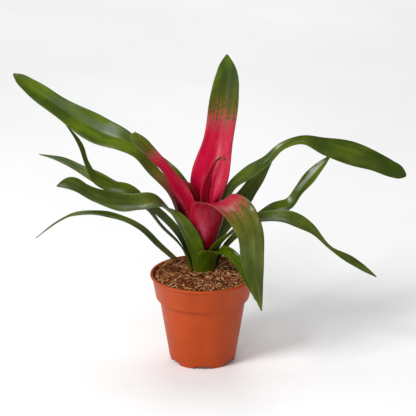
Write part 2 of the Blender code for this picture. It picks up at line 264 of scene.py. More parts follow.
# Colour of each leaf. "inner" and "outer" say how far along the leaf its red runs on the face
# that looks at the axis and on the back; "blend" is the length of the mottled change to green;
# "dull" is how far the green is greyed by a painted sheen, and "deep" how dark the red.
PLAIN = {"inner": -0.5, "outer": -0.5, "blend": 0.1, "grey_sheen": 0.2, "deep": 0.0}
LOOKS = {
    "leaf_tall_red": {"inner": 0.715, "outer": 0.66, "blend": 0.26, "grey_sheen": 0.0, "deep": 0.0},
    "leaf_red_left": {"inner": 0.83, "outer": 0.83, "blend": 0.14, "grey_sheen": 0.1, "deep": 0.35},
    "leaf_red_curled": {"inner": 0.90, "outer": 0.92, "blend": 0.12, "grey_sheen": 0.9, "deep": 0.45},
    "leaf_red_short": {"inner": 0.95, "outer": 0.95, "blend": 0.08, "grey_sheen": 0.9, "deep": 0.6},
    "leaf_front_arch": {"inner": 0.53, "outer": 0.44, "blend": 0.17, "grey_sheen": 0.95, "deep": 0.45},
    "leaf_front_low": dict(PLAIN, grey_sheen=0.0),
    "leaf_left_arch": {"inner": -0.2, "outer": -0.1, "blend": 0.2, "grey_sheen": 0.65, "deep": 0.4},
    "leaf_left_high": {"inner": 0.32, "outer": 0.34, "blend": 0.30, "grey_sheen": 0.2, "deep": 0.9},
    "leaf_left_low": dict(PLAIN, grey_sheen=0.35),
    "leaf_right_arch": dict(PLAIN, grey_sheen=0.55),
    "leaf_right_high": {"inner": 0.02, "outer": -0.1, "blend": 0.3, "grey_sheen": 0.4, "deep": 0.4},
    "leaf_right_short": dict(PLAIN, grey_sheen=0.7),
}

# Leaf colours, linear red, green and blue with alpha; besides the leaf's own colours there are
# greys for a painted sheen and a pale pink for a painted highlight.
TISSUE_AND_SHEEN = {
    "fresh_dark": (0.028, 0.060, 0.0002, 1.0),
    "fresh_light": (0.090, 0.140, 0.0005, 1.0),
    # Painted sheen: greyed greens that stand in for light reflected off the leaf.
    "sheen_grey_dark": (0.060, 0.084, 0.008, 1.0),
    "sheen_grey_light": (0.130, 0.165, 0.026, 1.0),
    "bronze": (0.150, 0.095, 0.004, 1.0),
    "streak": (0.014, 0.032, 0.0005, 1.0),
    "crimson": (0.450, 0.0002, 0.024, 1.0),
    "scarlet": (0.680, 0.0004, 0.055, 1.0),
    "wine": (0.200, 0.002, 0.010, 1.0),
    # Painted highlight: pale pink that stands in for gloss reflected off the red.
    "painted_pink_gloss": (0.860, 0.180, 0.270, 1.0),
    "rose": (0.700, 0.060, 0.130, 1.0),
    "vein": (0.02, 0.02, 0.002, 1.0),
    "fleck": (0.012, 0.028, 0.0004, 1.0),
    "foot": (0.095, 0.080, 0.004, 1.0),
    "margin": (0.150, 0.140, 0.020, 1.0),
    "dry_tip": (0.110, 0.060, 0.012, 1.0),
}
LEAF_SPECULAR = 0.19
LEAF_COAT = 0.03

# Stage, in metres and watts. A lamp is its name, place, size, power and target; no target means
# that it points at the plant.
FLOOR_HALF = 6.0
SKY_STRENGTH = 0.30
SENSOR_WIDTH = 36.0
AIM_X = 0.0054
AIM_SHARE = 0.5205
LAMPS = (
    ("key", (-1.1, -1.0, 1.5), 0.7, 33.0, None),
    ("fill", (1.4, -1.2, 0.8), 1.2, 0.6, None),
    ("low_key", (-0.62, -1.85, 0.52), 0.45, 8.0, None),
    ("top", (0.1, 0.7, 1.6), 0.9, 8.5, None),
    ("backdrop", (0.0, 3.0, 2.2), 2.0, 60.0, (0.0, 4.0, 0.0)),
)


def smooth_step(value):
    share = np.clip(value, 0.0, 1.0)
    return share * share * (3 - 2 * share)


def leaf_stations(leaf):
    """Midrib points as x, y, z, width and bearing; the clasping root comes first."""
    heading = leaf["heading"]
    rows = list(leaf["arch"])
    bearing = heading
    clasp = 0.0
    if leaf["root"]:
        bearing, clasp, root_width = leaf["root"]
        reach, height, width = rows[0]
        rows = [
            (clasp, LEAF_FOOT, root_width),
            (clasp + FOOT_LEAN, SOIL_LINE, root_width),
            (
                clasp + SHEATH_LEAN * (reach - clasp),
                SOIL_LINE + SHEATH_SHARE * (height - SOIL_LINE),
                root_width + SHEATH_SHARE * (width - root_width),
            ),
        ] + rows
    offset = (bearing - heading + 180) % 360 - 180
    start = rows[0][0]
    end = rows[-1][0]
    stations = []
    for reach, height, width in rows:
        here = heading + offset * clasp / reach
        turn = math.radians(here)
        drift = leaf["swing"] * ((reach - start) / (end - start)) ** 2
        x = AXIS_X + reach * math.cos(turn) - drift * math.sin(turn)
        y = AXIS_Y + reach * math.sin(turn) + drift * math.cos(turn)
        stations.append((x, y, height, width, here))
    return np.array(stations, float)


def smooth_path(stations, count):
    """Curve through the stations by distance; gives values and the direction of travel."""
    steps = np.linalg.norm(np.diff(stations[:, :3], axis=0), axis=1)
    along = np.concatenate([[0.0], np.cumsum(steps)])
    slopes = np.diff(stations, axis=0) / steps[:, None]
    tangents = np.zeros_like(stations)
    before = steps[:-1, None]
    after = steps[1:, None]
    tangents[1:-1] = (slopes[:-1] * after + slopes[1:] * before) / (before + after)
    tangents[0] = 1.5 * slopes[0] - 0.5 * tangents[1]
    tangents[-1] = 1.5 * slopes[-1] - 0.5 * tangents[-2]
    where = np.linspace(0.0, along[-1], count)
    k = np.clip(np.searchsorted(along, where, side="right") - 1, 0, len(steps) - 1)
    h = steps[k][:, None]
    s = ((where - along[k]) / steps[k])[:, None]
    values = ((2 * s**3 - 3 * s**2 + 1) * stations[k] + (s**3 - 2 * s**2 + s) * h * tangents[k]
              + (3 * s**2 - 2 * s**3) * stations[k + 1] + (s**3 - s**2) * h * tangents[k + 1])
    course = ((6 * s**2 - 6 * s) * (stations[k] - stations[k + 1]) / h
              + (3 * s**2 - 4 * s + 1) * tangents[k] + (3 * s**2 - 2 * s) * tangents[k + 1])
    course = course[:, :3] / np.linalg.norm(course[:, :3], axis=1)[:, None]
    return values, course


def leaf_sheet(leaf, count, columns):
    """Mid-surface of a leaf: rows along it, columns across, and the surface normals."""
    values, course = smooth_path(leaf_stations(leaf), count)
    centre = values[:, :3]
    width = np.maximum(values[:, 3], LEAST_WIDTH)
    bearing = np.radians(values[:, 4])
    share = np.linspace(0.0, 1.0, count)
    turning = smooth_step((share - TWIST_START) / (TWIST_END - TWIST_START))
    twist = np.radians(leaf["twist"]) * turning
    arc = np.full(count, math.radians(leaf["fold"]))
    if leaf["root"]:
        wrap = leaf["root"][2] / leaf["root"][1]
        arc += (wrap - arc) * (1 - smooth_step(share / OPENING_END))
    level = np.stack([-np.sin(bearing), np.cos(bearing), np.zeros(count)], 1)
    side = level - np.sum(course * level, 1)[:, None] * course
    side /= np.linalg.norm(side, axis=1)[:, None]
    face = np.cross(course, side)
    across = side * np.cos(twist)[:, None] + face * np.sin(twist)[:, None]
    inward = face * np.cos(twist)[:, None] - side * np.sin(twist)[:, None]
    radius = width / arc
    across_share = np.linspace(-1.0, 1.0, columns + 1)[None, :]
    turn = 0.5 * across_share * arc[:, None]
    wave = np.sin(share * leaf["ripples"] * 2 * math.pi + RIPPLE_LAG * across_share.T).T
    blade = smooth_step((share - BLADE_START) / BLADE_FADE) * smooth_step((1 - share) / TIP_FADE)
    narrow = np.minimum(width / FULL_RIPPLE_WIDTH, 1.0)
    ripple = RIPPLE * wave * across_share**4 * blade[:, None] * narrow[:, None]
    crease = CREASE * np.exp(-(across_share / CREASE_WIDTH) ** 2) * blade[:, None]
    reach = (radius[:, None] * np.sin(turn))[:, :, None]
    lift = (radius[:, None] * (1 - np.cos(turn)) + ripple - crease)[:, :, None]
    sheet = centre[:, None] + reach * across[:, None] + lift * inward[:, None]
    normal = np.cross(np.gradient(sheet, axis=0), np.gradient(sheet, axis=1))
    normal /= np.linalg.norm(normal, axis=2)[:, :, None]
    return sheet, normal


class Tree:
    """Short-hand for laying out shader nodes."""

    def __init__(self, tree):
        self.tree = tree

    def node(self, kind, inputs=None, **settings):
        made = self.tree.nodes.new(kind)
        for key, value in settings.items():
            setattr(made, key, value)
        for key, value in (inputs or {}).items():
            self.feed(made.inputs[key], value)
        return made

    def feed(self, socket, value):
        if isinstance(value, bpy.types.NodeSocket):
            self.tree.links.new(value, socket)
        else:
            socket.default_value = value

    def math(self, operation, first, second):
        made = self.node("ShaderNodeMath", {0: first, 1: second}, operation=operation)
        return made.outputs[0]

    def mix(self, share, first, second):
        """Colour mix; its sockets are taken by number because their names repeat."""
        made = self.node("ShaderNodeMix", data_type="RGBA")
        for key, value in ((0, share), (6, first), (7, second)):
            self.feed(made.inputs[key], value)
        return made.outputs[2]

    def ramp(self, value, low, high, to_low=0.0, to_high=1.0):
        made = self.node("ShaderNodeMapRange", interpolation_type="SMOOTHSTEP")
        for key, number in ((0, value), (1, low), (2, high), (3, to_low), (4, to_high)):
            self.feed(made.inputs[key], number)
        return made.outputs[0]

    def noise(self, vector, scale, detail=3.0, rough=0.55):
        inputs = {"Vector": vector, "Scale": scale, "Detail": detail, "Roughness": rough}
        return self.node("ShaderNodeTexNoise", inputs).outputs["Fac"]

    def attribute(self, name):
        return self.node("ShaderNodeAttribute", attribute_name=name)


def rgb(red, green, blue):
    return (red, green, blue, 1.0)


def new_group(name, inputs, outputs):
    """Empty shader node group with the given sockets."""
    group = bpy.data.node_groups.new(name, "ShaderNodeTree")
    kinds = {"f": "NodeSocketFloat", "c": "NodeSocketColor", "v": "NodeSocketVector"}
    for label, kind in inputs:
        group.interface.new_socket(label, in_out="INPUT", socket_type=kinds[kind])
    for label, kind in outputs:
        group.interface.new_socket(label, in_out="OUTPUT", socket_type=kinds[kind])
    tree = Tree(group)
    return group, tree, tree.node("NodeGroupInput").outputs, tree.node("NodeGroupOutput").inputs


def leaf_tone_group():
    """Leaf colour, roughness and relief from the distances along and across the leaf."""
    group, tree, given, result = new_group(
        "Leaf Tones",
        [("Inner End", "f"), ("Outer End", "f"), ("Blend", "f"), ("Grey Sheen", "f"), ("Deep", "f"),
         ("Offset", "f")],
        [("Colour", "c"), ("Roughness", "f"), ("Height", "f")],
    )
    along = tree.attribute("along").outputs["Fac"]
    run = tree.attribute("run").outputs["Fac"]
    span = tree.attribute("span").outputs["Fac"]
    edge = tree.attribute("edge").outputs["Fac"]
    inner = tree.attribute("inner").outputs["Fac"]
    lengthwise = tree.node("ShaderNodeCombineXYZ", {
        0: span, 1: tree.math("MULTIPLY", run, 0.020),
        2: given["Offset"]}).outputs[0]
    spotted = tree.node("ShaderNodeCombineXYZ", {
        0: tree.math("MULTIPLY", span, 0.70), 1: tree.math("MULTIPLY", run, 0.34),
        2: given["Offset"]}).outputs[0]
    veins = tree.noise(lengthwise, 1.0, 4.0)
    streaks = tree.noise(lengthwise, 0.42, 3.0)
    mottle = tree.noise(spotted, 1.0, 6.0, 0.72)
    clouds = tree.noise(spotted, 0.08, 3.0)
    end = tree.math("ADD", tree.math("MULTIPLY", given["Inner End"], inner),
                    tree.math("MULTIPLY", given["Outer End"], tree.math("SUBTRACT", 1.0, inner)))
    shift = tree.math("MULTIPLY", tree.math("SUBTRACT", mottle, 0.5),
                      tree.math("MULTIPLY", given["Blend"], 2.2))
    streak_shift = tree.math("MULTIPLY", tree.math("SUBTRACT", streaks, 0.5),
                             tree.math("MULTIPLY", given["Blend"], 1.2))
    place = tree.math("ADD", tree.math("ADD", along, shift), streak_shift)
    green_share = tree.ramp(tree.math("SUBTRACT", place, end), -0.05, 0.05)
    near_red = tree.math("MULTIPLY", green_share, tree.ramp(
        tree.math("SUBTRACT", along, end), 0.0, 0.24, 1.0, 0.0))
    fresh = tree.mix(tree.ramp(clouds, 0.35, 0.68), TISSUE_AND_SHEEN["fresh_dark"],
                     TISSUE_AND_SHEEN["fresh_light"])
    # Painted sheen: the green is greyed towards these colours in place of reflected light, more on
    # the face towards the axis.
    grey_sheen = tree.mix(tree.ramp(clouds, 0.35, 0.68), TISSUE_AND_SHEEN["sheen_grey_dark"],
                    TISSUE_AND_SHEEN["sheen_grey_light"])
    sheen_share = tree.math("MULTIPLY", given["Grey Sheen"], tree.ramp(inner, 0.0, 1.0, 0.45, 1.0))
    green = tree.mix(sheen_share, fresh, grey_sheen)
    green = tree.mix(tree.math("MULTIPLY", near_red, 0.45), green, TISSUE_AND_SHEEN["bronze"])
    green = tree.mix(tree.ramp(streaks, 0.30, 0.75, 0.0, 0.35), green, TISSUE_AND_SHEEN["streak"])
    red = tree.mix(tree.ramp(streaks, 0.30, 0.70), TISSUE_AND_SHEEN["crimson"],
                   TISSUE_AND_SHEEN["scarlet"])
    red = tree.mix(given["Deep"], red, TISSUE_AND_SHEEN["wine"])
    # Painted highlight: pale pink gloss patches streaked through the red in place of reflected
    # light.
    red = tree.mix(tree.math("MULTIPLY", tree.ramp(clouds, 0.50, 0.68),
                             tree.ramp(veins, 0.40, 0.62, 0.0, 0.40)), red,
                   TISSUE_AND_SHEEN["painted_pink_gloss"])
    near_end = tree.ramp(tree.math("SUBTRACT", end, along), 0.0, 0.07, 0.40, 0.0)
    red = tree.mix(near_end, red, TISSUE_AND_SHEEN["rose"])
    colour = tree.mix(green_share, red, green)
    colour = tree.mix(tree.ramp(veins, 0.42, 0.66, 0.0, 0.30), colour, TISSUE_AND_SHEEN["vein"])
    flecks = tree.math("MULTIPLY", green_share, tree.ramp(mottle, 0.54, 0.70, 0.0, 0.45))
    colour = tree.mix(flecks, colour, TISSUE_AND_SHEEN["fleck"])
    foot = tree.ramp(run, 8.0, 34.0, 0.75, 0.0)
    colour = tree.mix(foot, colour, TISSUE_AND_SHEEN["foot"])
    margin = tree.ramp(edge, 0.93, 0.995, 0.0, 0.28)
    colour = tree.mix(margin, colour, TISSUE_AND_SHEEN["margin"])
    tip = tree.ramp(along, 0.985, 1.0, 0.0, 0.5)
    colour = tree.mix(tip, colour, TISSUE_AND_SHEEN["dry_tip"])
    tree.feed(result["Colour"], colour)
    gloss = tree.ramp(clouds, 0.40, 0.65, 0.28, 0.16)
    tree.feed(result["Roughness"], tree.math("ADD", gloss, tree.math("MULTIPLY", veins, 0.08)))
    tree.feed(result["Height"], tree.math("ADD", tree.math("MULTIPLY", veins, 0.75),
                                          tree.math("MULTIPLY", mottle, 0.20)))
    return group


def grain_group():
    """Broken-up mask and relief in object space, for moulded plastic and loose fibre."""
    group, tree, given, result = new_group(
        "Surface Grain", [("Scale", "f"), ("Stretch", "f")],
        [("Mask", "f"), ("Fine", "f"), ("Height", "f")])
    place = tree.node("ShaderNodeTexCoord").outputs["Object"]
    stretched = tree.node("ShaderNodeCombineXYZ", {0: 1.0, 1: 1.0, 2: given["Stretch"]}).outputs[0]
    scaled = tree.node("ShaderNodeVectorMath", {0: place, 1: stretched}, operation="MULTIPLY")
    coarse = tree.noise(scaled.outputs[0], given["Scale"], 4.0)
    fine = tree.noise(scaled.outputs[0], tree.math("MULTIPLY", given["Scale"], 9.0), 4.0, 0.7)
    tree.feed(result["Mask"], coarse)
    tree.feed(result["Fine"], fine)
    tree.feed(result["Height"], tree.math("ADD", tree.math("MULTIPLY", fine, 0.7),
                                          tree.math("MULTIPLY", coarse, 0.3)))
    return group


def shared_group(name, maker):
    return bpy.data.node_groups.get(name) or maker()


def new_material(name, coat_roughness=0.0):
    material = bpy.data.materials.new(name)
    material.use_nodes = True
    material.node_tree.nodes.clear()
    tree = Tree(material.node_tree)
    shader = tree.node("ShaderNodeBsdfPrincipled")
    output = tree.node("ShaderNodeOutputMaterial")
    tree.feed(output.inputs["Surface"], shader.outputs[0])
    shader.inputs["Coat Roughness"].default_value = coat_roughness
    return material, tree, shader


def add_relief(tree, shader, height, strength, distance):
    bump = tree.node("ShaderNodeBump", {"Height": height, "Strength": strength,
                                        "Distance": distance * MM})
    tree.feed(shader.inputs["Normal"], bump.outputs[0])


def leaf_material(node_name, index):
    look = LOOKS.get(node_name, PLAIN)
    material, tree, shader = new_material(node_name.replace("leaf_", "") + "_tissue", 0.22)
    tones = tree.node("ShaderNodeGroup")
    tones.node_tree = shared_group("Leaf Tones", leaf_tone_group)
    values = {"Inner End": "inner", "Outer End": "outer", "Blend": "blend", "Grey Sheen": "grey_sheen",
              "Deep": "deep"}
    for socket, key in values.items():
        tones.inputs[socket].default_value = look[key]
    tones.inputs["Offset"].default_value = 3.7 * index
    tree.feed(shader.inputs["Base Color"], tones.outputs["Colour"])
    tree.feed(shader.inputs["Roughness"], tones.outputs["Roughness"])
    shader.inputs["Specular IOR Level"].default_value = LEAF_SPECULAR
    shader.inputs["Coat Weight"].default_value = LEAF_COAT
    add_relief(tree, shader, tones.outputs["Height"], 0.35, 0.25)
    return material


def grained_material(name, colours, roughness, scale, stretch, relief):
    """Two colours and two roughness values broken up by the shared grain."""
    low, high = (rgb(*colour) for colour in colours)
    material, tree, shader = new_material(name, 0.3)
    grain = tree.node("ShaderNodeGroup")
    grain.node_tree = shared_group("Surface Grain", grain_group)
    grain.inputs["Scale"].default_value = scale
    grain.inputs["Stretch"].default_value = stretch
    share = tree.ramp(grain.outputs["Mask"], 0.35, 0.65)
    colour = tree.mix(share, low, high)
    colour = tree.mix(tree.ramp(grain.outputs["Fine"], 0.45, 0.80, 0.0, 0.25), colour, low)
    tree.feed(shader.inputs["Base Color"], colour)
    tree.feed(shader.inputs["Roughness"], tree.ramp(grain.outputs["Fine"], 0.3, 0.7, *roughness))
    add_relief(tree, shader, grain.outputs["Height"], 0.5, relief)
    return material, shader


def fibre_material(name, palette):
    """Loose fibre whose colour varies from strand to strand and along its grain."""
    material, tree, shader = new_material(name)
    tint = tree.attribute("tint").outputs["Fac"]
    grain = tree.node("ShaderNodeGroup")
    grain.node_tree = shared_group("Surface Grain", grain_group)
    grain.inputs["Scale"].default_value = 300.0
    grain.inputs["Stretch"].default_value = 1.0
    colour = rgb(*palette[0])
    for step, shade in enumerate(palette[1:], 1):
        edge = step / len(palette)
        colour = tree.mix(tree.ramp(tint, edge - 0.06, edge + 0.06), colour, rgb(*shade))
    colour = tree.mix(tree.ramp(grain.outputs["Mask"], 0.35, 0.75, 0.0, 0.55), colour,
                      rgb(0.035, 0.014, 0.006))
    tree.feed(shader.inputs["Base Color"], colour)
    tree.feed(shader.inputs["Roughness"], tree.ramp(grain.outputs["Fine"], 0.3, 0.7, 0.72, 0.95))
    shader.inputs["Specular IOR Level"].default_value = FIBRE_SPECULAR
    add_relief(tree, shader, grain.outputs["Height"], 0.6, 0.3)
    return material


def new_piece(name, vertices, faces, materials, attributes=None):
    """Make one smooth object from millimetre vertices, with point attributes for its looks."""
    mesh = bpy.data.meshes.new(name)
    mesh.from_pydata((np.asarray(vertices, float) * MM).tolist(), [], faces)
    for material in materials:
        mesh.materials.append(material)
    for label, values in (attributes or {}).items():
        layer = mesh.attributes.new(label, "FLOAT", "POINT")
        layer.data.foreach_set("value", np.asarray(values, np.float32).ravel())
    mesh.shade_smooth()
    shell = bmesh.new()
    shell.from_mesh(mesh)
    bmesh.ops.recalc_face_normals(shell, faces=shell.faces)
    shell.to_mesh(mesh)
    shell.free()
    piece = bpy.data.objects.new(name, mesh)
    bpy.context.scene.collection.objects.link(piece)
    return piece


def declare(piece, node):
    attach(piece, "root")
    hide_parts(node)


def lathe(section, segments, adjust=None):
    """Closed turned solid; both ends of the section lie on the axis."""
    vertices = [(0.0, 0.0, section[0][1]), (0.0, 0.0, section[-1][1])]
    rings = []
    for radius, z in section[1:-1]:
        ring = []
        for k in range(segments):
            turn = 2 * math.pi * k / segments
            height = adjust(radius, turn, z) if adjust else z
            ring.append(len(vertices))
            vertices.append((radius * math.cos(turn), radius * math.sin(turn), height))
        rings.append(ring)
    faces = []
    for lower, upper in zip(rings, rings[1:]):
        for k in range(segments):
            n = (k + 1) % segments
            faces.append((lower[k], lower[n], upper[n], upper[k]))
    for k in range(segments):
        n = (k + 1) % segments
        faces.append((0, rings[0][n], rings[0][k]))
        faces.append((1, rings[-1][k], rings[-1][n]))
    return vertices, faces


def foot_height(radius, turn, z):
    """The foot ring is lifted clear of the ground over each notch."""
    if radius < NOTCH_INNER_RADIUS or z > NOTCH_TOP:
        return z
    sector = 360 / NOTCHES
    away = abs((math.degrees(turn) - FIRST_NOTCH + sector / 2) % sector - sector / 2)
    return NOTCH_TOP if away < NOTCH_WIDTH / 2 else z


def mix_height(radius, x, y):
    """Top of the mix: domed towards the rosette, with one heap and small lumps."""
    span = min(1.0, (MIX_RIM_RADIUS - radius) / MIX_DOME_SPAN)
    dome = MIX_RIM_HEIGHT + (MIX_MOUND_HEIGHT - MIX_RIM_HEIGHT) * math.sin(span * math.pi / 2)
    heap = HEAP_HEIGHT * math.exp(-((x - HEAP_X) ** 2 + (y - HEAP_Y) ** 2) / HEAP_SPREAD)
    lumps = sum(height * noise.noise(Vector((x, y, layer)) * fineness)
                for layer, height, fineness in MIX_LUMPS)
    return dome + heap + lumps * min(1.0, MIX_RIM_FADE * span)


def add_pot(settings):
    vertices, faces = lathe(POT_SECTION, settings.segments, foot_height)
    material, shader = grained_material(
        "terracotta_plastic", colours=[(0.385, 0.050, 0.006), (0.440, 0.061, 0.009)],
        roughness=(0.36, 0.50), scale=38.0, stretch=0.4, relief=0.05)
    shader.inputs["Coat Weight"].default_value = POT_COAT
    shader.inputs["Specular IOR Level"].default_value = POT_SPECULAR
    pot = new_piece("tapered_nursery_pot", vertices, faces, [material])
    pot.data.set_sharp_from_angle(angle=math.radians(SHARP_ANGLE))
    declare(pot, "nursery_pot")


def crumb(rng, x, y, z, length, width):
    """One bent, uneven flake of bark lying near (x, y, z)."""
    heading = rng.uniform(0, math.tau)
    pitch = rng.normal(0, 0.35)
    lengthwise = Vector((math.cos(heading) * math.cos(pitch), math.sin(heading) * math.cos(pitch),
                         math.sin(pitch)))
    sideways = Vector((-math.sin(heading), math.cos(heading), rng.normal(0, 0.3))).normalized()
    up = lengthwise.cross(sideways).normalized()
    centre = Vector((x, y, z))
    points = []
    for end in CRUMB_RINGS:
        taper = 1.0 - CRUMB_TAPER * abs(end) ** 2
        for side, lift in ((-1, 0), (0, 1), (1, 0), (0, -1)):
            jitter = rng.uniform(0.7, 1.3)
            spot = centre + lengthwise * end * length / 2
            spot += sideways * side * width / 2 * taper * jitter
            thick = lift * width * CRUMB_THICKNESS * taper * jitter
            spot += up * (thick + CRUMB_BEND * length * (1 - end * end))
            points.append(tuple(spot))
    faces = []
    for ring in range(len(CRUMB_RINGS) - 1):
        for k in range(4):
            n = (k + 1) % 4
            faces.append((ring * 4 + k, ring * 4 + n, ring * 4 + 4 + n, ring * 4 + 4 + k))
    faces += [(3, 2, 1, 0), (12, 13, 14, 15)]
    return points, faces


def strand(rng, x, y, z, length, thick, curl):
    """One loose fibre that bends over the surface of the mix."""
    heading = rng.uniform(0, math.tau)
    points = []
    spot = Vector((x, y, z))
    for step in range(STRAND_STEPS):
        heading += rng.normal(0, curl)
        course = Vector((math.cos(heading), math.sin(heading), 0.0))
        spot = spot + course * length / STRAND_STEPS
        radius = math.hypot(spot.x, spot.y)
        if radius > STRAND_RADIUS:
            heading += STRAND_TURN_BACK
            spot *= STRAND_RADIUS / radius
        arch = STRAND_ARCH * math.sin(math.pi * step / (STRAND_STEPS - 1))
        surface = mix_height(math.hypot(spot.x, spot.y), spot.x, spot.y)
        spot.z = min(surface + STRAND_LIFT + arch, STRAND_CEILING)
        sideways = Vector((-course.y, course.x, 0.0))
        from_middle = abs(2 * step / (STRAND_STEPS - 1) - 1)
        radius_here = thick / 2 * (1 - 0.5 * from_middle ** 3)
        for k in range(4):
            turn = math.tau * k / 4
            ring = spot + sideways * math.cos(turn) * radius_here
            ring.z += math.sin(turn) * radius_here
            points.append(tuple(ring))
    faces = []
    for ring in range(STRAND_STEPS - 1):
        for k in range(4):
            n = (k + 1) % 4
            faces.append((ring * 4 + k, ring * 4 + n, ring * 4 + 4 + n, ring * 4 + 4 + k))
    last = (STRAND_STEPS - 1) * 4
    faces += [(3, 2, 1, 0), (last, last + 1, last + 2, last + 3)]
    return points, faces


def scattered(rng, count, make):
    """Many small bodies as one mesh, each with its own tint value."""
    vertices, faces, tints = [], [], []
    for _ in range(count):
        radius = SCATTER_RADIUS * math.sqrt(rng.uniform(0.04, 1.0))
        turn = rng.uniform(0, math.tau)
        x, y = radius * math.cos(turn), radius * math.sin(turn)
        points, made = make(rng, x, y, mix_height(radius, x, y) + rng.uniform(-0.2, 0.7))
        start = len(vertices)
        vertices += points
        faces += [tuple(start + n for n in face) for face in made]
        tints += [rng.uniform()] * len(points)
    return vertices, faces, tints


def add_mix(settings):
    rng = np.random.default_rng(SEED)
    rings = settings.rings
    top = [(MIX_RIM_RADIUS * (1 - k / rings), MIX_RIM_HEIGHT) for k in range(rings)]
    section = MIX_SECTION + top + [(0.0, MIX_MOUND_HEIGHT)]

    def heave(radius, turn, z):
        if z < MIX_TOP_FROM:
            return z
        return mix_height(radius, radius * math.cos(turn), radius * math.sin(turn))

    vertices, faces = lathe(section, settings.segments, heave)
    soil = fibre_material("damp_coir", [(0.042, 0.013, 0.005), (0.120, 0.040, 0.014)])
    ground = new_piece("coir_bed", vertices, faces, [soil],
                       {"tint": rng.uniform(0, 1, len(vertices))})
    declare(ground, "potting_mix")
    bark = fibre_material("bark_flakes", [
        (0.070, 0.017, 0.006), (0.180, 0.046, 0.014), (0.310, 0.085, 0.025),
        (0.430, 0.135, 0.042), (0.620, 0.290, 0.110)])
    straw = fibre_material("pale_fibres", [
        (0.180, 0.045, 0.014), (0.340, 0.105, 0.034), (0.540, 0.240, 0.090),
        (0.800, 0.540, 0.270)])
    heaps = (
        ("bark_crumbs", settings.crumbs, bark,
         lambda r, x, y, z: crumb(r, x, y, z, r.uniform(2.2, 8.0), r.uniform(0.9, 2.6))),
        ("coir_strands", settings.strands, straw,
         lambda r, x, y, z: strand(r, x, y, z, r.uniform(7, 22), r.uniform(0.4, 0.9), 0.30)),
    )
    for name, count, material, make in heaps:
        vertices, faces, tints = scattered(rng, count, make)
        piece = new_piece(name, vertices, faces, [material], {"tint": tints})
        declare(piece, "potting_mix")


def add_crown(settings):
    """Short stem inside the sheaths, ringed by the scars of older leaves."""
    section = list(CROWN_DISC)
    for step in range(settings.scars):
        z = SCARS_FROM + SCARS_RISE * step / settings.scars
        section += [(STEM_RADIUS, z), (SCAR_RADIUS, z + SCAR_STEP)]
    vertices, faces = lathe(section + CROWN_TIP, CROWN_SEGMENTS)
    vertices = [(x + AXIS_X, y + AXIS_Y, z) for x, y, z in vertices]
    material, _ = grained_material(
        "pale_stem", colours=[(0.190, 0.200, 0.070), (0.340, 0.360, 0.150)],
        roughness=(0.5, 0.7), scale=160.0, stretch=0.3, relief=0.2)
    crown = new_piece("short_stem", vertices, faces, [material])
    declare(crown, "stem_crown")


def add_leaf(node_name, index, settings):
    """One leaf as a thin closed blade with a creased midrib and slightly waved margins."""
    leaf = dict(LEAVES[node_name], ripples=settings.ripples)
    rows, columns = settings.rows, settings.columns
    sheet, normal = leaf_sheet(leaf, rows, columns)
    across = np.linspace(-1.0, 1.0, columns + 1)
    half = 0.5 * (settings.edge + (settings.thickness - settings.edge) * (1 - across**2))
    half = half[None, :, None]
    upper = sheet + normal * half
    lower = sheet - normal * half
    stride = columns + 1
    under = rows * stride
    faces = []
    for i in range(rows - 1):
        for j in range(columns):
            a = i * stride + j
            b = a + stride
            faces.append((a, b, b + 1, a + 1))
            faces.append((under + a, under + a + 1, under + b + 1, under + b))
        left = i * stride
        right = left + columns
        faces.append((left, under + left, under + left + stride, left + stride))
        faces.append((right, right + stride, under + right + stride, under + right))
    for j in range(columns):
        end = (rows - 1) * stride + j
        faces.append((j, j + 1, under + j + 1, under + j))
        faces.append((end, under + end, under + end + 1, end + 1))
    steps = np.linalg.norm(np.diff(sheet[:, columns // 2], axis=0), axis=1)
    run = np.concatenate([[0.0], np.cumsum(steps)])
    width = np.linalg.norm(np.diff(sheet, axis=1), axis=2).sum(1)
    grid = {
        "along": np.repeat((run / run[-1])[:, None], stride, 1),
        "run": np.repeat(run[:, None], stride, 1),
        "span": width[:, None] * 0.5 * across[None, :],
        "edge": np.repeat(np.abs(across)[None, :], rows, 0),
    }
    attributes = {key: np.concatenate([value, value]) for key, value in grid.items()}
    attributes["inner"] = np.concatenate([np.ones((rows, stride)), np.zeros((rows, stride))])
    vertices = np.concatenate([upper.reshape(-1, 3), lower.reshape(-1, 3)])
    name = node_name.replace("leaf_", "") + "_leaf"
    piece = new_piece(name, vertices, faces, [leaf_material(node_name, index)], attributes)
    declare(piece, node_name)


def add_area_light(name, place, target, size, power):
    data = bpy.data.lights.new(name, "AREA")
    data.shape = "DISK"
    data.size = size
    data.energy = power
    lamp = bpy.data.objects.new(name, data)
    lamp.location = place
    lamp.rotation_euler = (Vector(target) - Vector(place)).to_track_quat("-Z", "Y").to_euler()
    bpy.context.scene.collection.objects.link(lamp)


